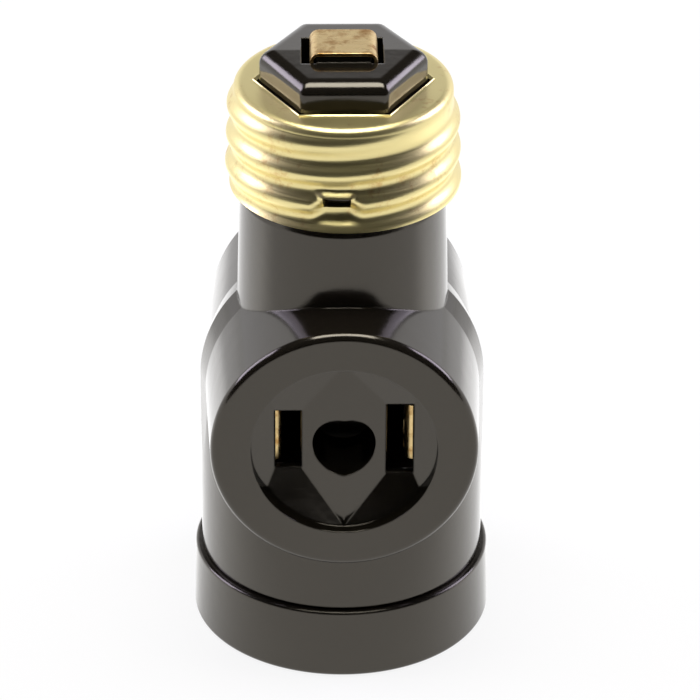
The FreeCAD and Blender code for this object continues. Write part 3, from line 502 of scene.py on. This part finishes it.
    place = node(tree, "ShaderNodeCombineXYZ", {
        "X": known["place x"], "Y": known["place y"], "Z": known["level"]})
    cup = node(tree, "GeometryNodeSetPosition", {"Geometry": slotted.outputs[0],
                                                 "Position": place.outputs[0]})
    joined = node(tree, "GeometryNodeMergeByDistance", {"Geometry": cup.outputs[0],
                                                        "Distance": 0.001})
    real = node(tree, "GeometryNodeRealizeInstances", {"Geometry": joined.outputs[0]})
    brushed = node(tree, "GeometryNodeSetMaterial", {"Geometry": real.outputs[0],
                                                     "Material": known["Material"]})
    node(tree, "NodeGroupOutput", {"Geometry": brushed.outputs[0]})
    return tree


def grown(name, tree, sizes, material):
    """A piece from a Geometry Nodes tree, its named inputs given before it is first evaluated."""
    piece = bpy.data.objects.new(name, bpy.data.meshes.new(name))
    bpy.context.scene.collection.objects.link(piece)
    made = piece.modifiers.new("form", "NODES")
    made.node_group = tree
    for item in tree.interface.items_tree:
        if item.in_out == "INPUT":
            made[item.identifier] = material if item.name == "Material" else sizes[item.name]
    return piece


def walled(piece, thickness, offset=-1):
    """Gives a sheet its wall, inwards unless told otherwise, and applies everything."""
    wall = piece.modifiers.new("wall", "SOLIDIFY")
    wall.thickness = thickness
    wall.offset = offset
    return settled(finished(piece), 35)


# rolled brass, bright as it leaves the dies: soft reflections, fine lines drawn round it by the
# rollers, and a little brown tarnish in specks of 1 mm gathered in clouds of 6 mm; the lines are
# drawn 0.15 mm apart so that they show
brass, tree, place = new_material("brass_sheet_rolled")
spread = node(tree, "ShaderNodeMapping", {"Vector": place, "Scale": (60.0, 60.0, 6500.0)})
drawn = node(tree, "ShaderNodeTexNoise", {"Vector": spread.outputs[0], "Scale": 1.0,
                                          "Detail": 3.0})
speckle = node(tree, "ShaderNodeTexNoise", {"Vector": place, "Scale": 900.0, "Detail": 6.0,
                                            "Roughness": 0.7})
cloud = node(tree, "ShaderNodeTexNoise", {"Vector": place, "Scale": 160.0, "Detail": 3.0})
stain = node(tree, "ShaderNodeMath", {0: speckle.outputs["Fac"], 1: cloud.outputs["Fac"]},
             operation="MULTIPLY")
tarnish = node(tree, "ShaderNodeMapRange", {"Value": stain.outputs[0], "From Min": 0.3,
                                            "From Max": 0.42, "To Min": 0.0, "To Max": 0.55})
tint = node(tree, "ShaderNodeMix", {"Factor": tarnish.outputs[0], "A": linear("f0e1a2"),
                                    "B": linear("c79a5a")}, data_type="RGBA")
dull = node(tree, "ShaderNodeMapRange", {"Value": drawn.outputs["Fac"], "From Min": 0.3,
                                         "From Max": 0.7, "To Min": 0.3, "To Max": 0.42})
lines = node(tree, "ShaderNodeBump", {"Height": drawn.outputs["Fac"], "Strength": 0.25,
                                      "Distance": 0.00003})
rolled = node(tree, "ShaderNodeBsdfPrincipled", {
    "Base Color": tint.outputs["Result"], "Metallic": 1.0, "Roughness": dull.outputs[0],
    "Normal": lines.outputs[0]})
node(tree, "ShaderNodeOutputMaterial", {"Surface": rolled.outputs[0]})

THREAD_PITCH, THREAD_DEPTH, BASE_WALL = 3.629, 0.7, 0.4
shell_tree = rolled_shell_tree()
base_shell = walled(grown("base_screw_shell_rolled", shell_tree, {
    "Low": 56.4, "Top": 68.8, "Low Radius": 12.73, "Slope": 0.03, "Corner": 1.0,
    "Pitch": THREAD_PITCH, "Depth": THREAD_DEPTH, "Crest Height": 59.7, "Fade Start": 66.4,
    "Fade End": 68.0, "Hole Apothem": 8.8, "Hexagonal": 1.0, "Lip": 0.12, "Tab Low": 57.1,
    "Slot Low": 59.0, "Slot High": 60.6, "Slot Middle": math.radians(86),
    "Slot Half Angle": math.radians(7), "Tab Depth": 1.1, "Columns": 360, "Wall Rows": 84,
    "Corner Rows": 12, "Plate Rows": 8}, brass), BASE_WALL)
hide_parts("base_screw_shell")
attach(base_shell, "root")

# Lamp shell. The same kind of rolled brass sheet, open downwards in the body's bore, with a
# flat floor that two screws and the neutral strip's rivet hold under the fibre disc.
LAMP_WALL = 0.35
lamp_shell = walled(grown("lamp_screw_shell_rolled", shell_tree, {
    "Low": 3.4, "Top": 22.0, "Low Radius": 12.95, "Slope": 0.0, "Corner": 0.7,
    "Pitch": THREAD_PITCH, "Depth": THREAD_DEPTH, "Crest Height": 5.4, "Fade Start": 19.6,
    "Fade End": 21.4, "Hole Apothem": 5.0, "Hexagonal": 0.0, "Lip": 0.0, "Tab Low": 3.0,
    "Slot Low": 3.0, "Slot High": 3.0, "Slot Middle": 0.0, "Slot Half Angle": -1.0,
    "Tab Depth": 0.0, "Columns": 288, "Wall Rows": 100, "Corner Rows": 6, "Plate Rows": 4},
    brass), LAMP_WALL)
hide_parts("lamp_screw_shell")
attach(lamp_shell, "root")

# Tip strap. Brass strip bent over the post, its two legs let down through slots in it; the
# crown is rubbed and scratched where it has sat in a lampholder.
STRAP_TOP, STRAP_HALF, STRAP_THICK, STRAP_REACH, LEG_END = 73.6, 3.8, 0.45, 3.05, 61.0
STRAP_BEND, STRAP_INNER_BEND, STRAP_EDGE = 1.1, 0.5, 0.12
STRAP_IN, STRAP_UNDER = STRAP_HALF - STRAP_THICK, STRAP_TOP - STRAP_THICK
around = softened([
    (-STRAP_HALF, LEG_END), (-STRAP_HALF, STRAP_TOP, STRAP_BEND),
    (STRAP_HALF, STRAP_TOP, STRAP_BEND), (STRAP_HALF, LEG_END), (STRAP_IN, LEG_END),
    (STRAP_IN, STRAP_UNDER, STRAP_INNER_BEND), (-STRAP_IN, STRAP_UNDER, STRAP_INNER_BEND),
    (-STRAP_IN, LEG_END)])
count = len(around)
corners = [(p.x, y, p.y) for y in (-STRAP_REACH, STRAP_REACH) for p in around]
faces = [list(range(count)), list(range(count, 2 * count))] + [
    (i, (i + 1) % count, count + (i + 1) % count, count + i) for i in range(count)]
strap = mesh_of("tip_strap_bent", corners, faces)
edges = strap.modifiers.new("rubbed_edges", "BEVEL")
edges.width = STRAP_EDGE
edges.segments = 3
edges.limit_method = "ANGLE"
edges.angle_limit = math.radians(60)
settled(finished(strap), 35)

# brass strip, pressed and handled: warmer than the shell, with darker stains about 2 mm wide,
# and scratched across its crown, the scratches drawn 0.2 mm apart so that they show
strip_brass, tree, place = new_material("brass_strip_pressed")
stain = node(tree, "ShaderNodeTexNoise", {"Vector": place, "Scale": 520.0, "Detail": 5.0,
                                          "Roughness": 0.65})
deep = node(tree, "ShaderNodeMapRange", {"Value": stain.outputs["Fac"], "From Min": 0.48,
                                         "From Max": 0.68})
tint = node(tree, "ShaderNodeMix", {"Factor": deep.outputs[0], "A": linear("e6cb92"),
                                    "B": linear("ab7c3c")}, data_type="RGBA")
hatch = node(tree, "ShaderNodeMapping", {"Vector": place, "Rotation": (0.0, 0.0, 0.6),
                                         "Scale": (500.0, 5200.0, 500.0)})
scratch = node(tree, "ShaderNodeTexNoise", {"Vector": hatch.outputs[0], "Scale": 1.0,
                                            "Detail": 2.0})
dull = node(tree, "ShaderNodeMapRange", {"Value": scratch.outputs["Fac"], "From Min": 0.35,
                                         "From Max": 0.65, "To Min": 0.26, "To Max": 0.42})
rubbed = node(tree, "ShaderNodeBump", {"Height": scratch.outputs["Fac"], "Strength": 0.35,
                                       "Distance": 0.00004})
pressed = node(tree, "ShaderNodeBsdfPrincipled", {
    "Base Color": tint.outputs["Result"], "Metallic": 1.0, "Roughness": dull.outputs[0],
    "Normal": rubbed.outputs[0]})
node(tree, "ShaderNodeOutputMaterial", {"Surface": pressed.outputs[0]})
coat(strap, strip_brass)
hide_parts("tip_contact")
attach(strap, "root")

# Contacts inside. Brass strips and a spring tongue for the lamp's tip, swaged together with
# brass rivets; they are seen through the blade slots and up the lamp's mouth.
for name in ("line_strip", "neutral_strip", "lamp_tip_contact", "line_rivets",
             "neutral_rivets"):
    coat(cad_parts[name], strip_brass)

# Blade contacts. Four spring leaves of brass strip, one beside each blade slot, riveted to the
# strips at their roots; each bows in to grip the blade and has a rolled mouth that leads it in.
LEAF_LOW, LEAF_HIGH, LEAF_THICK = 27.2, 34.2, 0.4
ROOT_X, ROOT_Y, BOW_START, BOW_END, BOW_R = 8.0, 0.36, 4.0, 9.0, 2.0
ROLL_X, ROLL_Y, ROLL_R, ROLL_SWEEP = 7.9, 12.65, 0.7, 150
for across, along, node_name in ((-1, -1, "front_line_contact"), (-1, 1, "rear_line_contact"),
                                 (1, -1, "front_neutral_contact"),
                                 (1, 1, "rear_neutral_contact")):
    bow = softened([(ROOT_X, ROOT_Y), (ROOT_X, BOW_START, BOW_R),
                    (ROLL_X - ROLL_R, BOW_END, BOW_R), (ROLL_X - ROLL_R, ROLL_Y - 1)], 6)
    bow += [(ROLL_X - ROLL_R * math.cos(math.radians(turn)),
             ROLL_Y + ROLL_R * math.sin(math.radians(turn)))
            for turn in range(0, ROLL_SWEEP + 1, 10)]
    rows = [(x * across, y * along, z) for z in (LEAF_LOW, LEAF_HIGH) for x, y in bow]
    leaf = mesh_of("leaf_of_" + node_name, rows, [
        (i, i + 1, len(bow) + i + 1, len(bow) + i) for i in range(len(bow) - 1)])
    walled(leaf, LEAF_THICK, 0)
    coat(leaf, strip_brass)
    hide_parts(node_name)
    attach(leaf, "root")

# Fixings of the lamp shell. Two slotted steel screws, zinc plated, go up through the shell's
# floor and through a disc of vulcanised fibre that parts it from the ceiling.

# zinc, electroplated and passivated: bluish grey, its crystals 0.7 mm patches of duller shine
zinc, tree, place = new_material("steel_zinc_plated")
crystals = node(tree, "ShaderNodeTexNoise", {"Vector": place, "Scale": 1500.0, "Detail": 3.0})
dull = node(tree, "ShaderNodeMapRange", {"Value": crystals.outputs["Fac"], "To Min": 0.25,
                                         "To Max": 0.4})
plated = node(tree, "ShaderNodeBsdfPrincipled", {
    "Base Color": linear("c9ccd0"), "Metallic": 1.0, "Roughness": dull.outputs[0]})
node(tree, "ShaderNodeOutputMaterial", {"Surface": plated.outputs[0]})
coat(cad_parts["shell_screws"], zinc)

# vulcanised fibre, pressed from paper: matt red-brown, felted in flecks of 1.4 mm
fibre, tree, place = new_material("fibre_vulcanised")
felted = node(tree, "ShaderNodeTexNoise", {"Vector": place, "Scale": 700.0, "Detail": 6.0})
tint = node(tree, "ShaderNodeMix", {"Factor": felted.outputs["Fac"], "A": linear("5a4436"),
                                    "B": linear("8a6c55")}, data_type="RGBA")
fuzz = node(tree, "ShaderNodeBump", {"Height": felted.outputs["Fac"], "Strength": 0.3,
                                     "Distance": 0.0001})
matt_fibre = node(tree, "ShaderNodeBsdfPrincipled", {
    "Base Color": tint.outputs["Result"], "Roughness": 0.75, "Normal": fuzz.outputs[0]})
node(tree, "ShaderNodeOutputMaterial", {"Surface": matt_fibre.outputs[0]})
coat(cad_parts["insulating_disc"], fibre)

# Floor. White paper that runs out to the horizon, close to white for camera, glossy and
# transmitted rays; its own shading keeps the object's soft shadow. Beside and behind the
# object the paper carries a painted glow, brighter in gloss alone, which no lamp gives.
FLOOR_REACH, PAPER_GLOW, PAINTED_GLOW_GAIN = 6000, 0.85, 0.7
paper, tree, place = new_material("white_paper")
path = node(tree, "ShaderNodeLightPath").outputs
seen = node(tree, "ShaderNodeMath", {0: path["Is Camera Ray"], 1: path["Is Glossy Ray"]},
            operation="ADD")
seen = node(tree, "ShaderNodeMath", {0: seen.outputs[0], 1: path["Is Transmission Ray"]},
            operation="ADD")
share = node(tree, "ShaderNodeMath", {0: seen.outputs[0], 1: PAPER_GLOW}, operation="MULTIPLY",
             use_clamp=True)
# painted glow: the paper's emission rises behind the object and within about 0.18 m of it, for
# glossy rays alone
painted_glow_behind = node(tree, "ShaderNodeMapRange", {
    "Value": node(tree, "ShaderNodeSeparateXYZ", {0: place}).outputs["Y"], "From Min": -0.03,
    "From Max": 0.02, "To Min": 0.0, "To Max": PAINTED_GLOW_GAIN}, interpolation_type="SMOOTHSTEP")
away = node(tree, "ShaderNodeVectorMath", {0: place}, operation="LENGTH")
near = node(tree, "ShaderNodeMapRange", {"Value": away.outputs["Value"], "From Min": 0.1,
                                         "From Max": 0.18, "To Min": 1.0, "To Max": 0.0},
            interpolation_type="SMOOTHSTEP")
painted_glow = node(tree, "ShaderNodeMath", {0: painted_glow_behind.outputs[0], 1: near.outputs[0]},
             operation="MULTIPLY")
painted_glow = node(tree, "ShaderNodeMath", {0: painted_glow.outputs[0], 1: path["Is Glossy Ray"], 2: 1.0},
             operation="MULTIPLY_ADD")
glow = node(tree, "ShaderNodeEmission", {"Color": linear("ffffff"),
                                         "Strength": painted_glow.outputs[0]})
matt = node(tree, "ShaderNodeBsdfDiffuse", {"Color": linear("f2f2f2")})
lit_paper = node(tree, "ShaderNodeMixShader", {0: share.outputs[0], 1: matt.outputs[0],
                                               2: glow.outputs[0]})
node(tree, "ShaderNodeOutputMaterial", {"Surface": lit_paper.outputs[0]})
floor = settled(mesh_of("floor", [
    (-FLOOR_REACH, -FLOOR_REACH, 0), (FLOOR_REACH, -FLOOR_REACH, 0),
    (FLOOR_REACH, FLOOR_REACH, 0), (-FLOOR_REACH, FLOOR_REACH, 0)], [(0, 1, 2, 3)]), 5)
coat(floor, paper)

# Studio. A white sweep behind, a dark room above, a softbox overhead and one each side, and a
# low black card in front that shows in gloss alone and ends the paper's reflection there.
CARD_HALF, CARD_Y, CARD_TOP = 600, -240, 90
card = settled(mesh_of("black_card", [
    (-CARD_HALF, CARD_Y, 0), (CARD_HALF, CARD_Y, 0), (CARD_HALF, CARD_Y, CARD_TOP),
    (-CARD_HALF, CARD_Y, CARD_TOP)], [(0, 1, 2, 3)]), 5)
velvet, tree, place = new_material("black_velvet")
pile = node(tree, "ShaderNodeBsdfDiffuse", {"Color": linear("080808")})
node(tree, "ShaderNodeOutputMaterial", {"Surface": pile.outputs[0]})
coat(card, velvet)
card.visible_camera = card.visible_shadow = card.visible_diffuse = False

# the sweep's top edge, as the sine of its elevation, climbs from below the horizon in front to
# SWEEP_TOP behind, and softens over SWEEP_SOFT
SWEEP_TOP, SWEEP_SOFT, ROOM_LEVEL = 0.43, 0.16, 0.03
world = bpy.data.worlds.new("studio")
bpy.context.scene.world = world
world.use_nodes = True
tree = world.node_tree
tree.nodes.clear()
direction = node(tree, "ShaderNodeSeparateXYZ", {
    0: node(tree, "ShaderNodeTexCoord").outputs["Generated"]}).outputs
sweep_edge = node(tree, "ShaderNodeMapRange", {
    "Value": direction["Y"], "From Min": -0.3, "From Max": 0.6, "To Min": -0.15,
    "To Max": SWEEP_TOP}, interpolation_type="SMOOTHSTEP")
over_edge = node(tree, "ShaderNodeMath", {0: direction["Z"], 1: sweep_edge.outputs[0]},
                 operation="SUBTRACT")
brightness = node(tree, "ShaderNodeMapRange", {
    "Value": over_edge.outputs[0], "From Min": 0.0, "From Max": SWEEP_SOFT, "To Min": 1.0,
    "To Max": ROOM_LEVEL}, interpolation_type="SMOOTHSTEP")
sky = node(tree, "ShaderNodeBackground", {"Color": linear("fbfbff"),
                                          "Strength": brightness.outputs[0]})
node(tree, "ShaderNodeOutputWorld", {"Surface": sky.outputs[0]})

# the softboxes face the middle of the object from LAMP_AWAY metres off
MIDDLE_Z, LAMP_AWAY = 40, 0.8
middle = Vector((0, 0, MIDDLE_Z)) * MM
for name, azimuth, elevation, width, tall, radiance, tone in (
        ("softbox_left", -104, 27, 0.4, 0.45, 5.8, "e6e1ff"),
        ("softbox_right", 104, 27, 0.4, 0.45, 5.8, "e6e1ff"),
        ("softbox_above", 0, 89, 0.6, 0.45, 7.5, "fffdf6")):
    light = bpy.data.lights.new(name, "AREA")
    light.shape = "RECTANGLE"
    light.size, light.size_y = width, tall
    light.energy = radiance * math.pi * width * tall
    light.color = linear(tone)[:3]
    lamp = bpy.data.objects.new(name, light)
    bpy.context.scene.collection.objects.link(lamp)
    side, up = math.radians(azimuth), math.radians(elevation)
    toward = Vector((math.sin(side) * math.cos(up), -math.cos(side) * math.cos(up), math.sin(up)))
    lamp.matrix_world = Matrix.Translation(middle + toward * LAMP_AWAY) @ toward.to_track_quat(
        "Z", "Y").to_matrix().to_4x4()

# Camera. It stands 0.6 m from the object and looks 30 degrees down, as the object's outlines
# and the round outlet show in the photograph, with a long lens and a slight roll.
LENS, PICTURE_WIDTH, CAMERA_ROLL = 266.88, 36.0, 0.3
camera_data = bpy.data.cameras.new("camera")
camera_data.lens = LENS
camera_data.sensor_width = PICTURE_WIDTH
camera_data.clip_end = 20
camera = bpy.data.objects.new("camera", camera_data)
bpy.context.scene.collection.objects.link(camera)
right = Vector((0.99986, -0.01387, 0.00952)).normalized()
forward = Vector((0.01677, 0.86551, -0.5006)).normalized()
up = right.cross(forward)
roll = Matrix.Rotation(math.radians(CAMERA_ROLL), 3, forward)
right, up = roll @ right, roll @ up
camera.matrix_world = Matrix.Translation(Vector((-9.155, -519.341, 334.091)) * MM) @ Matrix(
    (right, up, -forward)).transposed().to_4x4()
bpy.context.scene.camera = camera
bpy.context.scene.view_settings.view_transform = "Standard"
